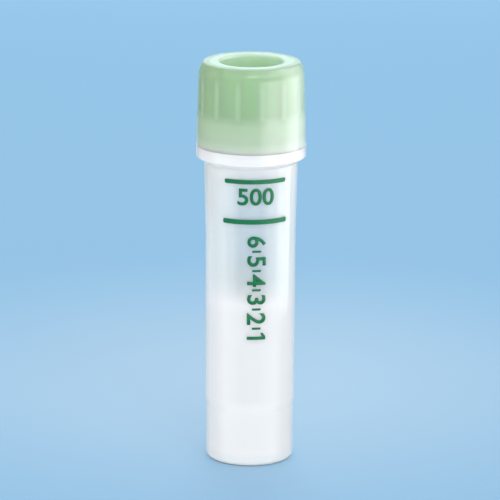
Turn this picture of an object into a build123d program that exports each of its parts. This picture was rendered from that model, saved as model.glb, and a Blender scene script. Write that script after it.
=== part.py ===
"""Small blood collection tube with a raised chamber floor, and its push cap with a deep well.

Millimetres, +Z up. The origin is on the tube's axis, on the plane that the foot stands on.
Heights are measured from that plane, and angles go round +Z from +X.
"""

import os
from math import atan2, cos

from build123d import *

# Tube: heights and lengths
COLLAR_TOP = 37.3  # the cap's rim lands here
COLLAR_THICKNESS = 1.3
COLLAR_SLOPE = 0.6  # height of the sloping underside of the collar
FLARE_LENGTH = 9.5  # stretch below the collar where the barrel widens
FOOT_BAND_HEIGHT = 7.4
FOOT_BAND_SLOPE = 1.1  # height of the soft step above the foot band
FLOOR_LEVEL = 20.0  # rim of the chamber's floor
FLOOR_DISH = 0.5  # the floor is a shallow cone, this much lower at the middle
FLOOR_THICKNESS = 1.0
MOUTH_DEPTH = 4.7  # wide stretch of the chamber, below the collar's top
NECK_HEIGHT = 3.6  # above the collar's top
COUNTERBORE_HEIGHT = 5.4  # wide stretch of the skirt's hollow

# Tube: radii, walls and steps
BARREL_RADIUS = 5.2  # at the foot of the flare
BARREL_DRAFT = 0.05  # how much the barrel narrows from there to the foot band
FLARE_STEP = 0.2  # how much it widens from there to the collar
FOOT_STEP = 0.1  # how far the foot band is set in
COLLAR_STEP = 0.06  # how far the collar stands out of the cap's rim
CHAMBER_WALL = 0.9
CHAMBER_DRAFT = 0.12  # how much the chamber narrows down to its floor
MOUTH_STEP = 0.1  # how much wider the mouth is than the chamber
NECK_WALL = 0.75
SKIRT_WALL = 1.15
COUNTERBORE_STEP = 0.15
FLOOR_FILLET = 1.0
FOOT_FILLET = 0.6
FOOT_CHAMFER = 0.15
COLLAR_FILLET = 0.25
NECK_FILLET = 0.2

# Tube: ribs that stiffen the skirt under the chamber's floor
RIB_COUNT = 8
RIB_THICKNESS = 0.5
RIB_REACH = 0.9  # inwards from the skirt's wall
RIB_LOWER_END = 7.4
RIB_TURN = -78.75  # angle of the first rib
ROOT = 0.3  # how deep a rib or web is rooted in the walls that carry it

# Cap: heights and lengths
CAP_HEIGHT = 9.7
BAND_HEIGHT = 4.3  # the slightly wider band at the cap's foot
BAND_SLOPE = 1.0  # height of the soft step above the band
TOP_THICKNESS = 0.9
BEVEL_HEIGHT = 1.1
PLUG_REACH = 0.9  # how far the straight stretch of the plug goes into the neck
CONE_HEIGHT = 2.9
RIM_CLEARANCE = 0.12  # between the webs and the neck's rim

# Cap: radii, walls and clearances
PLUG_CLEARANCE = 0.03  # between the plug and the mouth
SLEEVE_CLEARANCE = 0.1  # between the sleeve and the neck
SLEEVE_WALL = 0.9  # above the band
SLEEVE_DRAFT = 0.09  # how much the sleeve narrows from there to the bevel
BAND_STEP = 0.08  # how far the band stands out of the sleeve
BAND_DRAFT = 0.03  # how much the band widens down to its rim
BEVEL_DEPTH = 0.5
BEVEL_FILLET = 2.5
WELL_WALL = 0.9
WELL_DRAFT = 0.15  # how much the well widens up to its mouth
TIP_RADIUS = 0.4  # the cone ends in a small flat
LEAD_IN = 0.2
CAP_FILLET = 0.3

# Cap: webs between the well and the sleeve
WEB_COUNT = 14
WEB_THICKNESS = 0.42
WEB_TURN = -78.6  # angle of the first web

# Levels
neck_top = COLLAR_TOP + NECK_HEIGHT
collar_underside = COLLAR_TOP - COLLAR_THICKNESS
flare_foot = collar_underside - FLARE_LENGTH
mouth_foot = COLLAR_TOP - MOUTH_DEPTH
floor_underside = FLOOR_LEVEL - FLOOR_DISH - FLOOR_THICKNESS
cap_top = COLLAR_TOP + CAP_HEIGHT
cap_ceiling = cap_top - TOP_THICKNESS
plug_foot = neck_top - PLUG_REACH
web_foot = neck_top + RIM_CLEARANCE

# Radii of the tube, from the barrel inwards and outwards
flare_radius = BARREL_RADIUS + FLARE_STEP
skirt_radius = BARREL_RADIUS - BARREL_DRAFT
foot_radius = skirt_radius - FOOT_STEP
chamber_radius = BARREL_RADIUS - CHAMBER_WALL
floor_radius = chamber_radius - CHAMBER_DRAFT
mouth_radius = chamber_radius + MOUTH_STEP
neck_radius = mouth_radius + NECK_WALL
hollow_radius = skirt_radius - SKIRT_WALL
counterbore_radius = hollow_radius + COUNTERBORE_STEP

# Radii of the cap, from the tube's neck
plug_radius = mouth_radius - PLUG_CLEARANCE
well_radius = plug_radius - WELL_WALL
sleeve_bore = neck_radius + SLEEVE_CLEARANCE
sleeve_radius = sleeve_bore + SLEEVE_WALL
sleeve_top_radius = sleeve_radius - SLEEVE_DRAFT
bevel_radius = sleeve_top_radius - BEVEL_DEPTH
band_radius = sleeve_radius + BAND_STEP
rim_radius = band_radius + BAND_DRAFT
collar_radius = rim_radius + COLLAR_STEP


def ring(part, radius, height):
    """The circular edge of a turned part at a radius and a height."""
    return (
        part.edges()
        .filter_by(GeomType.CIRCLE)
        .filter_by(lambda e: abs(e.radius - radius) < 0.01 and abs(e.arc_center.Z - height) < 0.01)
    )


def half_section(*points):
    """Outline of (radius, height) points, to be turned round +Z.

    The last point is the upper edge of an outer band, and a soft S-curve goes up from it to the first.
    """
    with BuildSketch(Plane.XZ) as section:
        with BuildLine():
            Polyline(points)
            Spline(points[-1], points[0], tangents=((0, 1), (0, 1)))
        make_face()
    return section.sketch


def spokes(inner, outer, thickness, count, turn, foot):
    """Plan of plates that stand radially round +Z, from one radius to another, at a height."""
    with BuildSketch(Plane.XY.offset(foot)) as plan:
        with PolarLocations((inner + outer) / 2, count, start_angle=turn):
            Rectangle(outer - inner, thickness)
    return plan.sketch


# Tube: foot skirt, barrel, collar and neck outside; skirt hollow, floor and chamber inside
collar_slope_foot = collar_underside - COLLAR_SLOPE
with BuildPart() as tube:
    tube_section = half_section(
        (skirt_radius, FOOT_BAND_HEIGHT),
        (BARREL_RADIUS, flare_foot),
        (flare_radius, collar_slope_foot),
        (collar_radius, collar_underside),
        (collar_radius, COLLAR_TOP),
        (neck_radius, COLLAR_TOP),
        (neck_radius, neck_top),
        (mouth_radius, neck_top),
        (mouth_radius, mouth_foot + MOUTH_STEP),
        (chamber_radius, mouth_foot),
        (floor_radius, FLOOR_LEVEL),
        (0, FLOOR_LEVEL - FLOOR_DISH),
        (0, floor_underside),
        (hollow_radius, floor_underside),
        (hollow_radius, COUNTERBORE_HEIGHT + COUNTERBORE_STEP),
        (counterbore_radius, COUNTERBORE_HEIGHT),
        (counterbore_radius, 0),
        (foot_radius, 0),
        (foot_radius, FOOT_BAND_HEIGHT - FOOT_BAND_SLOPE),
    )
    revolve(tube_section, axis=Axis.Z)
    fillet(ring(tube, floor_radius, FLOOR_LEVEL), FLOOR_FILLET)
    fillet(ring(tube, foot_radius, 0), min(FOOT_FILLET, 0.7 * (foot_radius - counterbore_radius)))
    chamfer(ring(tube, counterbore_radius, 0), FOOT_CHAMFER)
    fillet(ring(tube, collar_radius, collar_underside), COLLAR_FILLET)
    fillet(ring(tube, neck_radius, neck_top), NECK_FILLET)
    fillet(ring(tube, mouth_radius, neck_top), NECK_FILLET)
    rib_inner, rib_outer = hollow_radius - RIB_REACH, hollow_radius + ROOT
    ribs = spokes(rib_inner, rib_outer, RIB_THICKNESS, RIB_COUNT, RIB_TURN, RIB_LOWER_END)
    extrude(ribs, amount=floor_underside + ROOT - RIB_LOWER_END)

# Cap: sleeve with its band outside, bevelled top, and the well, whose cone bottom is the plug
cone_slope = CONE_HEIGHT / plug_radius
cone_lift = WELL_WALL / cos(atan2(CONE_HEIGHT, plug_radius))
cone_apex = plug_foot - CONE_HEIGHT
tip_height = cone_apex + cone_slope * TIP_RADIUS
bevel_foot = cap_top - BEVEL_HEIGHT
band_top = COLLAR_TOP + BAND_HEIGHT
with BuildPart() as cap:
    cap_section = half_section(
        (sleeve_radius, band_top),
        (sleeve_top_radius, bevel_foot),
        (bevel_radius, cap_top),
        (well_radius + WELL_DRAFT, cap_top),
        (well_radius, cone_apex + cone_slope * well_radius + cone_lift),
        (TIP_RADIUS, tip_height + cone_lift),
        (0, tip_height + cone_lift),
        (0, tip_height),
        (TIP_RADIUS, tip_height),
        (plug_radius, plug_foot),
        (plug_radius, neck_top),
        (plug_radius + WELL_DRAFT, cap_ceiling),
        (sleeve_bore, cap_ceiling),
        (sleeve_bore, COLLAR_TOP + LEAD_IN),
        (sleeve_bore + LEAD_IN, COLLAR_TOP),
        (rim_radius, COLLAR_TOP),
        (band_radius, band_top - BAND_SLOPE),
    )
    revolve(cap_section, axis=Axis.Z)
    fillet(ring(cap, sleeve_top_radius, bevel_foot), BEVEL_FILLET)
    fillet(ring(cap, bevel_radius, cap_top), CAP_FILLET)
    fillet(ring(cap, well_radius + WELL_DRAFT, cap_top), CAP_FILLET)
    web_inner, web_outer = plug_radius - ROOT, sleeve_bore + ROOT
    webs = spokes(web_inner, web_outer, WEB_THICKNESS, WEB_COUNT, WEB_TURN, web_foot)
    extrude(webs, amount=cap_ceiling + ROOT - web_foot)

os.makedirs("parts", exist_ok=True)
tube.part.label = "tube"
export_step(tube.part, "parts/tube.step")
cap.part.label = "cap"
export_step(cap.part, "parts/cap.step")
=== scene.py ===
"""Small blood collection tube with its push cap, standing on a plain pale floor.

Sizes are in millimetres, turned to metres by MM, and heights are above the foot.
"""

import math

import bmesh
import bpy
from mathutils import Matrix, Vector


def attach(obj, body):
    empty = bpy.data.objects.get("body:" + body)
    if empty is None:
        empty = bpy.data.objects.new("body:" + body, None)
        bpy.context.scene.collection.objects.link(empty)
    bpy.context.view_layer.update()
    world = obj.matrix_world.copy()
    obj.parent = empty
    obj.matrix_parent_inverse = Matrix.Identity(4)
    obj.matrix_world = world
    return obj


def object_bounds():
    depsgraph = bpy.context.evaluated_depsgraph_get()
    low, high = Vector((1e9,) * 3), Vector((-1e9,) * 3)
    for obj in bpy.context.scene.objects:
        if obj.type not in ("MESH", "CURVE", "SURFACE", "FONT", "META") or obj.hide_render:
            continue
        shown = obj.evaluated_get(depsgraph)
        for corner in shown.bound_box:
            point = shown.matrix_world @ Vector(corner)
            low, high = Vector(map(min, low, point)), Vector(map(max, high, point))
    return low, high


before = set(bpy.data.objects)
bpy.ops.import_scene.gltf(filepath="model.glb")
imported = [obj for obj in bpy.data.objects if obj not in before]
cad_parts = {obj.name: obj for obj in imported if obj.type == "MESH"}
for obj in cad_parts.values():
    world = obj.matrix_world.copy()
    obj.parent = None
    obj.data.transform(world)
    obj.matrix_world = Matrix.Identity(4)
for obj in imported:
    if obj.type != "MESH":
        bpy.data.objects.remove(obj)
cad_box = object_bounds()
MM = 0.001
PIECE_TOP = cad_box[1][2] / MM

# The camera stands in front of the tube's printed side, a little above it
CAMERA_DISTANCE = 412.0
CAMERA_PITCH = 14.3  # degrees down
CAMERA_ROLL = 0.34  # degrees
CAMERA_LENS = 256.5
CAMERA_SENSOR = 36
CAMERA_RANGE = 0.01, 50  # metres
AIM_HEIGHT = 24.7
AIM_SIDE = -0.055  # a little to the left of the axis

# Print: heights, and distances round the barrel from the middle of the printed side
PRINT_TURN = 6.5  # degrees, towards +X
INK_THICKNESS = 0.02
INK_LIFT = 0.006
STRIP_WIDTH = 0.2  # the print bends round the barrel in strips
UPPER_LINE = dict(height=34.0, half_length=3.75, thickness=0.5)
LOWER_LINE = dict(height=29.3, half_length=3.95, thickness=0.56)
LINE_ROUNDING = 0.35  # radius of a line's corners, as a share of its thickness
CORNER_STEPS = 4
VOLUME_DIGITS = dict(text="500", low=31.25, height=2.0, stretch=1.08, weight=0.02)
SCALE_NUMBERS = 6
SCALE_FOOT = 15.55  # height of the middle of the number 1
SCALE_STEP = 2.28
SCALE_SIDE = 0.12
SCALE_DIGITS = dict(height=2.15, stretch=1.0, weight=0.02)
TICK_LENGTH = 1.0
TICK_THICKNESS = 0.25

# The scale's number 1: a stem, and a flag that slants down from the stem's top
ONE_STEM = 0.38  # width
ONE_FLAG = 0.42  # how far the flag reaches out of the stem
ONE_FLAG_DROPS = 0.75, 1.4  # from the top down to the flag's two outer corners, as shares of its reach
ONE_FLAG_ROOT = 0.3  # from the middle up to where the flag leaves the stem, as a share of the height

# Both plastics
PLASTIC_IOR = 1.49
SCATTER_DEPTH = 1.5  # how far light wanders inside

# The tube's plastic. Clearness is the share of the light that passes straight through a wall.
TUBE_ROUGHNESS = 0.14, 0.2
TUBE_WHITES = (0.975, 0.98, 0.985), (0.99, 0.99, 0.99)
PAINTED_SURROUNDING_BLUE = (0.86, 0.97, 1, 1)  # painted blue of the floor mirrored at the foot, and of the backdrop seen through the chamber's wall
PAINTED_BLUE_HEIGHTS = (0, 1), (0.9, 0.9), (1.6, 0), (19, 0), (21.5, 1), (33.5, 1), (36, 0)  # by height: painted blue at the foot and over the chamber
TUBE_CLEARNESS = (  # by height
    (0, 0), (7, 0.04), (8, 0.12), (19.5, 0.12), (21, 0.4), (22.5, 0.6), (30, 0.6),
    (33.5, 0.45), (35.5, 0.15), (37, 0.1), (37.25, 0), (37.8, 0.3),
)
# By how far the wall is turned away: the share of its clearness that is left, and what is added to it
SLANT_HAZE = (0.06, 0.8), (0.11, 0.55), (0.225, 0.3), (0.37, 0.2), (0.6, 0)
EDGE_CLEARNESS = (0.2, 0), (0.37, 0.1), (0.6, 0.14), (0.9, 0.25)
# The chamber's inside is clearer, because all the milk is carried by the outer skin
CHAMBER_CLEARNESS = (20.3, 0), (21.3, 0.95), (35.5, 0.95), (37, 0)  # by height
CHAMBER_DEPTH = (4.55, 1), (4.7, 0)  # by distance from the axis
CHAMBER_SPAN = 10  # the distances run from 0 to this
TUBE_SCATTER = (35.5, 1), (36.2, 0.45)  # by height: less light goes deep into the thick collar

# The cap's plastic
CAP_ROUGHNESS = 0.2, 0.28
CAP_GREENS = (0.64, 0.89, 0.56), (0.68, 0.91, 0.60)
CAP_SCATTER_COLOUR = (0.8, 1, 0.8)
CAP_COAT = {"Coat Weight": 0.5, "Coat IOR": 1.6, "Coat Roughness": 0.55}
CAP_CLEARNESS = (37.3, 0), (37.45, 0.12), (37.7, 0.26), (38.6, 0.42), (40.4, 0.46), (41.6, 0.6)
PALE_GREEN = (0.86, 0.97, 0.85, 1)
CAP_PALENESS = (37.3, 0.47), (38.6, 0.28), (40.4, 0.25), (41.8, 0)  # the band is paler than the rest
WELL_SHADE_GREEN = (0.66, 0.78, 0.65, 1)
WELL_SHADE = (3.7, 4.3), (0.5, 0)  # painted shade inside the cap's well: distances from the axis, and the share of that duller green there
WELL_CLEARNESS = (4.6, 5.0), (0.5, 1)  # distances from the axis, and the share of clearness left

# Webs behind the cap's sleeve, whose lines are painted pale as light that they carry through it, and which
# make the sleeve less clear there
WEB_COUNT = 14
WEB_TURN = -78.6  # degrees from +X to the first one
WEB_GLOW = 0.1  # half the line's width, as a share of the step from web to web
WEB_STRENGTH = 0.12
WEB_HEIGHTS = (41, 0), (41.47, 1), (44.59, 1), (46, 0)  # heights, and how much of a line shows there

# The ink
INK_GREENS = (0.004, 0.155, 0.055), (0.008, 0.2, 0.075)

# The floor and the air have a blue that is seen, and a paler colour that they light the tube with
FLOOR_WIDTH = 20  # metres
FLOOR_LIGHT = (0.84, 0.87, 0.9, 1)
PAINTED_POOL_SETBACK = 30  # the painted pool of light on the floor is centred this far behind the tube
PAINTED_POOL_BLUES = (  # metres from the painted pool's middle, and the blue there
    (0, (0.392, 0.564, 0.72)),
    (0.075, (0.257, 0.463, 0.658)),
    (0.24, (0.236, 0.43, 0.61)),
    (0.7, (0.295, 0.485, 0.675)),
)
AIR_LIGHT = (0.96, 0.98, 1, 1)
AIR_BLUE = (0.29, 0.48, 0.67, 1)
ROSY, ICY = (1, 0.93, 1), (0.88, 0.95, 1)  # tints of the soft boxes


# ---------------------------------------------------------------- nodes


def node(tree, kind, inputs=None, **settings):
    """A new node, with settings and with its inputs set or linked."""
    made = tree.nodes.new(kind)
    for name, value in settings.items():
        setattr(made, name, value)
    for name, value in (inputs or {}).items():
        if isinstance(value, bpy.types.NodeSocket):
            tree.links.new(value, made.inputs[name])
        else:
            made.inputs[name].default_value = value
    return made


def set_inputs(made, values):
    """Sets plain values on a node's inputs."""
    for name, value in values.items():
        made.inputs[name].default_value = value


def maths(tree, operation, *values):
    """The result of one operation on numbers."""
    return node(tree, "ShaderNodeMath", dict(enumerate(values)), operation=operation).outputs[0]


def remap(tree, value, before, after=(0, 1), **settings):
    """Turns one range of values into another."""
    names = "Value", "From Min", "From Max", "To Min", "To Max"
    inputs = dict(zip(names, (value, *before, *after)))
    return node(tree, "ShaderNodeMapRange", inputs, **settings).outputs["Result"]


def mix_colours(tree, share, first, second):
    """The first colour, with a share of the second mixed in."""
    return node(tree, "ShaderNodeMix", {0: share, 6: first, 7: second}, data_type="RGBA").outputs[2]


def ramp(tree, factor, *stops):
    """A colour ramp through (position, colour) stops."""
    made = node(tree, "ShaderNodeValToRGB", {"Fac": factor})
    elements = made.color_ramp.elements
    while len(elements) < len(stops):
        elements.new(0.5)
    for element, (position, colour) in zip(elements, stops):
        element.position = position
        element.color = (*colour, 1)
    return made.outputs["Color"]


def share_ramp(tree, value, stops, span=1):
    """A share that follows a value from 0 to span, through (value, share) stops."""
    return ramp(tree, value, *((at / span, (share,) * 3) for at, share in stops))


def object_place(tree):
    """Where a point lies on the piece, in metres."""
    return node(tree, "ShaderNodeTexCoord").outputs["Object"]


def distance_from_axis(tree):
    """Distance from the piece's upright axis, in millimetres."""
    level = {0: object_place(tree), 1: (1 / MM, 1 / MM, 0)}
    flat = node(tree, "ShaderNodeVectorMath", level, operation="MULTIPLY").outputs["Vector"]
    return node(tree, "ShaderNodeVectorMath", {0: flat}, operation="LENGTH").outputs["Value"]


def by_height(tree, stops):
    """A share that follows the height above the foot, through (height, share) stops."""
    height = node(tree, "ShaderNodeSeparateXYZ", {"Vector": object_place(tree)}).outputs["Z"]
    height = maths(tree, "MULTIPLY", height, 1 / MM)
    return share_ramp(tree, remap(tree, height, (0, PIECE_TOP)), stops, PIECE_TOP)


def object_noise(tree, scale, detail=3, stretch=(1, 1, 1)):
    """Noise that stays on the piece. Scale is in repeats per metre."""
    stretched = {"Vector": object_place(tree), "Scale": stretch}
    mapped = node(tree, "ShaderNodeMapping", stretched).outputs["Vector"]
    noise = {"Vector": mapped, "Scale": scale, "Detail": detail}
    return node(tree, "ShaderNodeTexNoise", noise).outputs["Fac"]


# ---------------------------------------------------------------- plastics and ink


def new_material(name):
    """An empty node material, with its tree and its Principled node."""
    material = bpy.data.materials.new(name)
    material.use_nodes = True
    tree = material.node_tree
    return material, tree, tree.nodes["Principled BSDF"]


def mottled(tree, noise, first, second):
    """A colour that wanders between two over a noise."""
    return ramp(tree, noise, (0.3, first), (0.7, second))


def moulded_skin(tree, skin, roughness, scatter_colour):
    """Gives a plastic its satin grain, and the way that it bends and scatters light."""
    grain = object_noise(tree, scale=2500, detail=2)
    tree.links.new(remap(tree, grain, (0, 1), roughness), skin.inputs["Roughness"])
    set_inputs(skin, {
        "IOR": PLASTIC_IOR,
        "Subsurface Radius": scatter_colour,
        "Subsurface Scale": SCATTER_DEPTH * MM,
    })


def tube_clearness(tree):
    """Clearness of the tube: hazier at a slant, where more plastic lies in the way, and clearer inside."""
    slant = node(tree, "ShaderNodeLayerWeight", {"Blend": 0.5}).outputs["Facing"]
    squarely = maths(tree, "MULTIPLY", by_height(tree, TUBE_CLEARNESS), share_ramp(tree, slant, SLANT_HAZE))
    outside = maths(tree, "ADD", squarely, share_ramp(tree, slant, EDGE_CLEARNESS))
    depth = remap(tree, distance_from_axis(tree), (0, CHAMBER_SPAN))
    depth = share_ramp(tree, depth, CHAMBER_DEPTH, CHAMBER_SPAN)
    inside = maths(tree, "MULTIPLY", by_height(tree, CHAMBER_CLEARNESS), depth)
    return maths(tree, "MAXIMUM", outside, inside)


def natural_polypropylene():
    """Milky, see-through moulded plastic, clearest where only the chamber's thin wall stands."""
    material, tree, skin = new_material("natural_polypropylene")
    white = mottled(tree, object_noise(tree, scale=260, stretch=(1, 1, 0.25)), *TUBE_WHITES)
    # The base colour carries painted blue: the floor's at the foot, the backdrop's over the chamber
    colour = mix_colours(tree, by_height(tree, PAINTED_BLUE_HEIGHTS), white, PAINTED_SURROUNDING_BLUE)
    tree.links.new(colour, skin.inputs["Base Color"])
    moulded_skin(tree, skin, TUBE_ROUGHNESS, scatter_colour=(1, 1, 1))
    tree.links.new(tube_clearness(tree), skin.inputs["Transmission Weight"])
    tree.links.new(by_height(tree, TUBE_SCATTER), skin.inputs["Subsurface Weight"])
    return material


def web_lines(tree):
    """The lines of the upright webs behind the cap's sleeve, painted pale as light that comes through them,
    and 0 between them.
    """
    part = node(tree, "ShaderNodeSeparateXYZ", {"Vector": object_place(tree)}).outputs
    angle = maths(tree, "ARCTAN2", part["Y"], part["X"])
    first, step = math.radians(WEB_TURN), math.tau / WEB_COUNT
    turns = remap(tree, angle, (first, first + step), clamp=False)
    away = maths(tree, "PINGPONG", turns, 0.5)
    line = remap(tree, away, (0, 2 * WEB_GLOW), (1, 0), interpolation_type="SMOOTHSTEP")
    line = maths(tree, "MULTIPLY", line, by_height(tree, WEB_HEIGHTS))
    return maths(tree, "MULTIPLY", line, WEB_STRENGTH)


def green_polyethylene():
    """Translucent pale green moulded plastic with a glossy skin."""
    material, tree, skin = new_material("green_polyethylene")
    lines = web_lines(tree)
    green = mottled(tree, object_noise(tree, scale=200, stretch=(1, 1, 0.3)), *CAP_GREENS)
    # Painted shade: the inside of the well turns a duller, greyer green
    green = mix_colours(tree, remap(tree, distance_from_axis(tree), *WELL_SHADE), green, WELL_SHADE_GREEN)
    # Paleness: the band's, and the painted light of the webs' lines
    paleness = maths(tree, "MAXIMUM", by_height(tree, CAP_PALENESS), lines)
    tree.links.new(mix_colours(tree, paleness, green, PALE_GREEN), skin.inputs["Base Color"])
    moulded_skin(tree, skin, CAP_ROUGHNESS, CAP_SCATTER_COLOUR)
    well = remap(tree, distance_from_axis(tree), *WELL_CLEARNESS)
    clearness = maths(tree, "MULTIPLY", by_height(tree, CAP_CLEARNESS), well)
    tree.links.new(maths(tree, "SUBTRACT", clearness, lines), skin.inputs["Transmission Weight"])
    set_inputs(skin, {"Subsurface Weight": 1, **CAP_COAT})
    return material


def green_ink():
    """Matt dark green ink, slightly uneven."""
    material, tree, skin = new_material("green_ink")
    green = mottled(tree, object_noise(tree, scale=1800, detail=4), *INK_GREENS)
    tree.links.new(green, skin.inputs["Base Color"])
    set_inputs(skin, {"Roughness": 0.5, "Specular IOR Level": 0.25})
    return material


def finish_node(name, material):
    """Gives a CAD node its plastic."""
    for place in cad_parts[name].material_slots:
        place.material = material


# ---------------------------------------------------------------- print on the barrel


def barrel_radius(height):
    """Radius of the barrel's outside at a height, measured on the CAD tube."""
    well_outside = Vector((0, -20 * MM, height * MM))
    _, place, _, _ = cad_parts["tube"].ray_cast(well_outside, Vector((0, 1, 0)))
    return math.hypot(place.x, place.y) / MM


def cut_in_strips(flat):
    """Cuts a flat outline along upright lines, so that it can follow the barrel's curve."""
    count = int(max(abs(v.co.x) for v in flat.verts) / STRIP_WIDTH) + 1
    for k in range(-count, count + 1):
        everything = flat.verts[:] + flat.edges[:] + flat.faces[:]
        cut = (k * STRIP_WIDTH, 0, 0)
        bmesh.ops.bisect_plane(flat, geom=everything, plane_co=cut, plane_no=(1, 0, 0), dist=1e-6)
    bmesh.ops.remove_doubles(flat, verts=flat.verts, dist=1e-4)


def print_on_barrel(name, flat, ink):
    """Wraps a flat mesh, with x to the side and y up, round the barrel as a thin layer of ink."""
    cut_in_strips(flat)
    extruded = bmesh.ops.extrude_face_region(flat, geom=flat.faces[:])
    top = {v for v in extruded["geom"] if isinstance(v, bmesh.types.BMVert)}
    radius_at = {}
    for vertex in flat.verts:
        side, height = vertex.co.x, vertex.co.y
        key = round(height, 2)
        if key not in radius_at:
            radius_at[key] = barrel_radius(height)
        radius = radius_at[key] + INK_LIFT + (INK_THICKNESS if vertex in top else -INK_THICKNESS)
        angle = math.radians(PRINT_TURN) + side / radius_at[key]
        vertex.co = Vector((radius * math.sin(angle), -radius * math.cos(angle), height)) * MM
    bmesh.ops.recalc_face_normals(flat, faces=flat.faces)
    mesh = bpy.data.meshes.new(name)
    flat.to_mesh(mesh)
    flat.free()
    mesh.materials.append(ink)
    piece = bpy.data.objects.new(name, mesh)
    bpy.context.collection.objects.link(piece)
    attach(piece, "tube")


def flat_line(height, half_length, thickness):
    """A straight printed line with softly rounded ends."""
    corner = thickness * LINE_ROUNDING
    side, rise = half_length - corner, thickness / 2 - corner
    centres = (side, rise), (-side, rise), (-side, -rise), (side, -rise)
    outline = []
    for quarter, (centre_x, centre_y) in enumerate(centres):
        for k in range(CORNER_STEPS + 1):
            turn = math.radians(quarter * 90 + k * 90 / CORNER_STEPS)
            x, y = centre_x + corner * math.cos(turn), height + centre_y + corner * math.sin(turn)
            outline.append((x, y, 0))
    flat = bmesh.new()
    flat.faces.new([flat.verts.new(p) for p in outline])
    return flat


def flat_mesh(maker):
    """The flat mesh that a text or a Geometry Nodes object makes. The object is used up."""
    bpy.context.collection.objects.link(maker)
    bpy.context.view_layer.update()
    mesh = bpy.data.meshes.new_from_object(maker.evaluated_get(bpy.context.evaluated_depsgraph_get()))
    maker.modifiers.clear()
    bpy.data.objects.remove(maker)
    flat = bmesh.new()
    flat.from_mesh(mesh)
    bpy.data.meshes.remove(mesh)
    return flat


def flat_digits(text, low, height, stretch, weight):
    """Printed digits of a given height, upright from their lower edge and centred to the sides."""
    curve = bpy.data.curves.new("digits", "FONT")
    curve.body = text
    curve.size = 1
    curve.offset = weight
    curve.resolution_u = 6
    flat = flat_mesh(bpy.data.objects.new("digits", curve))
    bmesh.ops.remove_doubles(flat, verts=flat.verts, dist=1e-5)
    xs = [v.co.x for v in flat.verts]
    ys = [v.co.y for v in flat.verts]
    middle, bottom = (min(xs) + max(xs)) / 2, min(ys)
    size = height / (max(ys) - bottom)
    for v in flat.verts:
        v.co = ((v.co.x - middle) * size * stretch, (v.co.y - bottom) * size + low, 0)
    return flat


def flat_one(height):
    """A printed 1 of a given height, whose stem is centred both ways."""
    flat = bmesh.new()
    left, right, top, notch = -ONE_STEM / 2, ONE_STEM / 2, height / 2, height * ONE_FLAG_ROOT
    foot = [flat.verts.new((x, -top, 0)) for x in (left, right)]
    neck = [flat.verts.new((x, notch, 0)) for x in (right, left)]
    head = [flat.verts.new((x, top, 0)) for x in (right, left)]
    tip = [flat.verts.new((left - ONE_FLAG, top - drop * ONE_FLAG, 0)) for drop in ONE_FLAG_DROPS]
    flat.faces.new(foot + neck)
    flat.faces.new([neck[1], neck[0], *head])
    flat.faces.new([head[1], *tip, neck[1]])
    return flat


def lying_digit(number):
    """A number of the scale, lying so that it reads down the barrel."""
    height = SCALE_DIGITS["height"]
    flat = flat_one(height) if number == 1 else flat_digits(str(number), -height / 2, **SCALE_DIGITS)
    bmesh.ops.rotate(flat, verts=flat.verts, matrix=Matrix.Rotation(math.radians(-90), 3, "Z"))
    bmesh.ops.translate(flat, verts=flat.verts, vec=(SCALE_SIDE, SCALE_FOOT + (number - 1) * SCALE_STEP, 0))
    return flat


def tick_tree():
    """Geometry Nodes tree: a column of flat ticks."""
    tree = bpy.data.node_groups.new("scale_ticks", "GeometryNodeTree")
    for name in ("Side", "Lowest", "Spacing", "Length", "Thickness"):
        tree.interface.new_socket(name, in_out="INPUT", socket_type="NodeSocketFloat")
    tree.interface.new_socket("Count", in_out="INPUT", socket_type="NodeSocketInt")
    tree.interface.new_socket("Ink", in_out="INPUT", socket_type="NodeSocketMaterial")
    tree.interface.new_socket("Ticks", in_out="OUTPUT", socket_type="NodeSocketGeometry")
    sizes = node(tree, "NodeGroupInput").outputs
    start = node(tree, "ShaderNodeCombineXYZ", {"X": sizes["Side"], "Y": sizes["Lowest"]}).outputs["Vector"]
    step = node(tree, "ShaderNodeCombineXYZ", {"Y": sizes["Spacing"]}).outputs["Vector"]
    column = {"Count": sizes["Count"], "Start Location": start, "Offset": step}
    line = node(tree, "GeometryNodeMeshLine", column)
    outline = {"Size X": sizes["Length"], "Size Y": sizes["Thickness"], "Vertices X": 2, "Vertices Y": 2}
    tick = node(tree, "GeometryNodeMeshGrid", outline).outputs["Mesh"]
    ticks = node(tree, "GeometryNodeInstanceOnPoints", {"Points": line.outputs["Mesh"], "Instance": tick})
    real = node(tree, "GeometryNodeRealizeInstances", {"Geometry": ticks.outputs["Instances"]})
    finish = {"Geometry": real.outputs["Geometry"], "Material": sizes["Ink"]}
    inked = node(tree, "GeometryNodeSetMaterial", finish)
    node(tree, "NodeGroupOutput", {"Ticks": inked.outputs["Geometry"]})
    return tree


def flat_ticks(ink):
    """The ticks half way between the scale's numbers, as a flat mesh."""
    values = {
        "Side": SCALE_SIDE,
        "Lowest": SCALE_FOOT + SCALE_STEP / 2,
        "Spacing": SCALE_STEP,
        "Length": TICK_LENGTH,
        "Thickness": TICK_THICKNESS,
        "Count": SCALE_NUMBERS - 1,
        "Ink": ink,
    }
    carrier = bpy.data.objects.new("ticks", bpy.data.meshes.new("ticks"))
    modifier = carrier.modifiers.new("scale_ticks", "NODES")
    modifier.node_group = tick_tree()
    for socket in modifier.node_group.interface.items_tree:
        if socket.in_out == "INPUT":
            modifier[socket.identifier] = values[socket.name]
    return flat_mesh(carrier)


# ---------------------------------------------------------------- floor, air, lamps and camera


def seen_ray(tree):
    """1 where the surroundings are seen, mirrored or seen through plastic, and 0 where they only light."""
    ray = node(tree, "ShaderNodeLightPath").outputs
    shows = maths(tree, "MAXIMUM", ray["Is Camera Ray"], ray["Is Glossy Ray"])
    shows = maths(tree, "MAXIMUM", shows, ray["Is Transmission Ray"])
    return maths(tree, "MULTIPLY", shows, maths(tree, "LESS_THAN", ray["Diffuse Depth"], 0.5))


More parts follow.
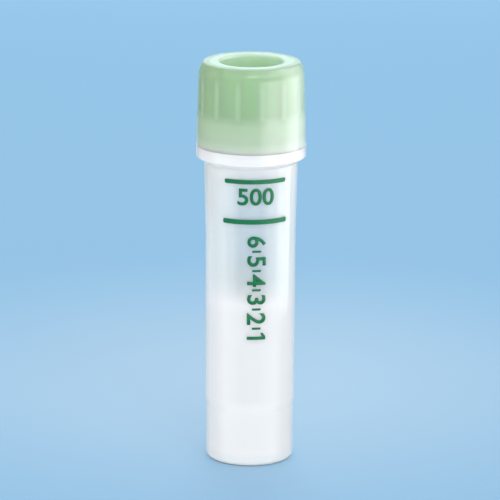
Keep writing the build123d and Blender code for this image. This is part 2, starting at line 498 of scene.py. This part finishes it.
def pale_floor():
    """Matt blue paper, with a soft painted pool of light behind the tube."""
    material, tree, skin = new_material("pale_floor")
    centred = {0: object_place(tree), 1: (0, -PAINTED_POOL_SETBACK * MM, 0)}
    centred = node(tree, "ShaderNodeVectorMath", centred, operation="ADD").outputs["Vector"]
    away = node(tree, "ShaderNodeVectorMath", {0: centred}, operation="LENGTH").outputs["Value"]
    # The seen colour holds a painted pool of light
    seen = ramp(tree, away, *PAINTED_POOL_BLUES)
    seen.node.color_ramp.interpolation = "EASE"
    tree.links.new(mix_colours(tree, seen_ray(tree), FLOOR_LIGHT, seen), skin.inputs["Base Color"])
    set_inputs(skin, {"Roughness": 1, "Specular IOR Level": 0})
    return material


def lay_floor():
    """A wide flat floor at the foot's height."""
    bpy.ops.mesh.primitive_plane_add(size=FLOOR_WIDTH)
    floor = bpy.context.object
    floor.name = "floor"
    floor.data.materials.append(pale_floor())


def fill_with_air():
    """A plain world that lights the tube softly from every side."""
    world = bpy.data.worlds.new("studio")
    bpy.context.scene.world = world
    world.use_nodes = True
    tree = world.node_tree
    background = tree.nodes["Background"]
    tree.links.new(mix_colours(tree, seen_ray(tree), AIR_LIGHT, AIR_BLUE), background.inputs["Color"])
    set_inputs(background, {"Strength": 1})


def face_tube(thing, azimuth, distance, heights, lean=0):
    """Stands a lamp or a card so that it faces the tube, leaning over it by some degrees.

    Azimuth 0 is the camera's side, and 90 is to its right. Heights are those of the lower and upper edge.
    """
    a, e = math.radians(azimuth), math.radians(lean)
    facing = Vector((math.sin(a) * math.cos(e), -math.cos(a) * math.cos(e), math.sin(e)))
    thing.location = Vector((math.sin(a) * distance, -math.cos(a) * distance, sum(heights) / 2)) * MM
    thing.rotation_mode = "QUATERNION"
    thing.rotation_quaternion = facing.to_track_quat("Z", "Y")


def soft_box(name, azimuth, distance, heights, width, shine=0, light=0, lean=0, tint=(1, 1, 1)):
    """A rectangular soft box that either shows as a highlight, or lights the tube without one.

    Its brightness is given as shine or as light, where 1 looks white.
    """
    lamp_data = bpy.data.lights.new(name, "AREA")
    lamp_data.shape = "RECTANGLE"
    lamp_data.size, lamp_data.size_y = width * MM, (heights[1] - heights[0]) * MM
    lamp_data.energy = (shine or light) * math.pi * lamp_data.size * lamp_data.size_y
    lamp_data.color = tint
    lamp = bpy.data.objects.new(name, lamp_data)
    bpy.context.collection.objects.link(lamp)
    face_tube(lamp, azimuth, distance, heights, lean)
    lamp.visible_camera = False
    lamp.visible_diffuse = lamp.visible_transmission = light > 0
    lamp.visible_glossy = shine > 0


def dark_flag(name, azimuth, distance, heights, width):
    """A dark card that shows only as a reflection, so that the side that faces it keeps its own colour."""
    card, _, skin = new_material(name)
    set_inputs(skin, {"Base Color": (0.03, 0.05, 0.04, 1), "Roughness": 1})
    bpy.ops.mesh.primitive_plane_add(size=1)
    flag = bpy.context.object
    flag.name = name
    flag.data.materials.append(card)
    flag.scale = (width * MM, (heights[1] - heights[0]) * MM, 1)
    face_tube(flag, azimuth, distance, heights)
    flag.visible_camera = flag.visible_diffuse = flag.visible_transmission = flag.visible_shadow = False


def aim_camera():
    """The camera, aimed at the middle of the tube."""
    camera_data = bpy.data.cameras.new("camera")
    camera = bpy.data.objects.new("camera", camera_data)
    bpy.context.collection.objects.link(camera)
    camera_data.lens = CAMERA_LENS
    camera_data.sensor_width = CAMERA_SENSOR
    camera_data.clip_start, camera_data.clip_end = CAMERA_RANGE
    pitch = math.radians(CAMERA_PITCH)
    backwards = Vector((0, -math.cos(pitch), math.sin(pitch)))
    roll = Matrix.Rotation(math.radians(CAMERA_ROLL), 3, "Z").to_quaternion()
    camera.location = Vector((AIM_SIDE, 0, AIM_HEIGHT)) * MM + backwards * CAMERA_DISTANCE * MM
    camera.rotation_mode = "QUATERNION"
    camera.rotation_quaternion = backwards.to_track_quat("Z", "Y") @ roll
    bpy.context.scene.camera = camera


# ---------------------------------------------------------------- scene

finish_node("tube", natural_polypropylene())
finish_node("cap", green_polyethylene())

ink = green_ink()
print_on_barrel("upper_line", flat_line(**UPPER_LINE), ink)
print_on_barrel("lower_line", flat_line(**LOWER_LINE), ink)
print_on_barrel("volume_number", flat_digits(**VOLUME_DIGITS), ink)
for number in range(1, SCALE_NUMBERS + 1):
    print_on_barrel(f"scale_{number}", lying_digit(number), ink)
print_on_barrel("scale_ticks", flat_ticks(ink), ink)

lay_floor()
fill_with_air()
soft_box("right_glow", azimuth=75, distance=150, heights=(2, 58), width=280, shine=2.5, tint=ROSY)
soft_box("right_crown", azimuth=78, distance=150, heights=(118, 220), width=200, shine=2.6)
soft_box("front_glow", azimuth=42, distance=150, heights=(2, 58), width=130, shine=3.0, tint=ROSY)
soft_box("right_strip", azimuth=92, distance=65, heights=(2, 120), width=50, shine=3.3)
soft_box("right_edge", azimuth=122, distance=130, heights=(2, 120), width=90, shine=1.3)
soft_box("left_box", azimuth=-85, distance=120, heights=(2, 180), width=170, light=0.12)
soft_box("front_box", azimuth=15, distance=500, heights=(200, 500), width=400, light=1.6, lean=35)
soft_box("back_box", azimuth=180, distance=500, heights=(100, 400), width=400, light=2.0, lean=25)
soft_box("back_glow", azimuth=180, distance=500, heights=(60, 400), width=400, shine=0.84, tint=ICY)
dark_flag("left_flag", azimuth=-110, distance=100, heights=(0.5, 160), width=160)
aim_camera()
bpy.context.scene.view_settings.view_transform = "Standard"
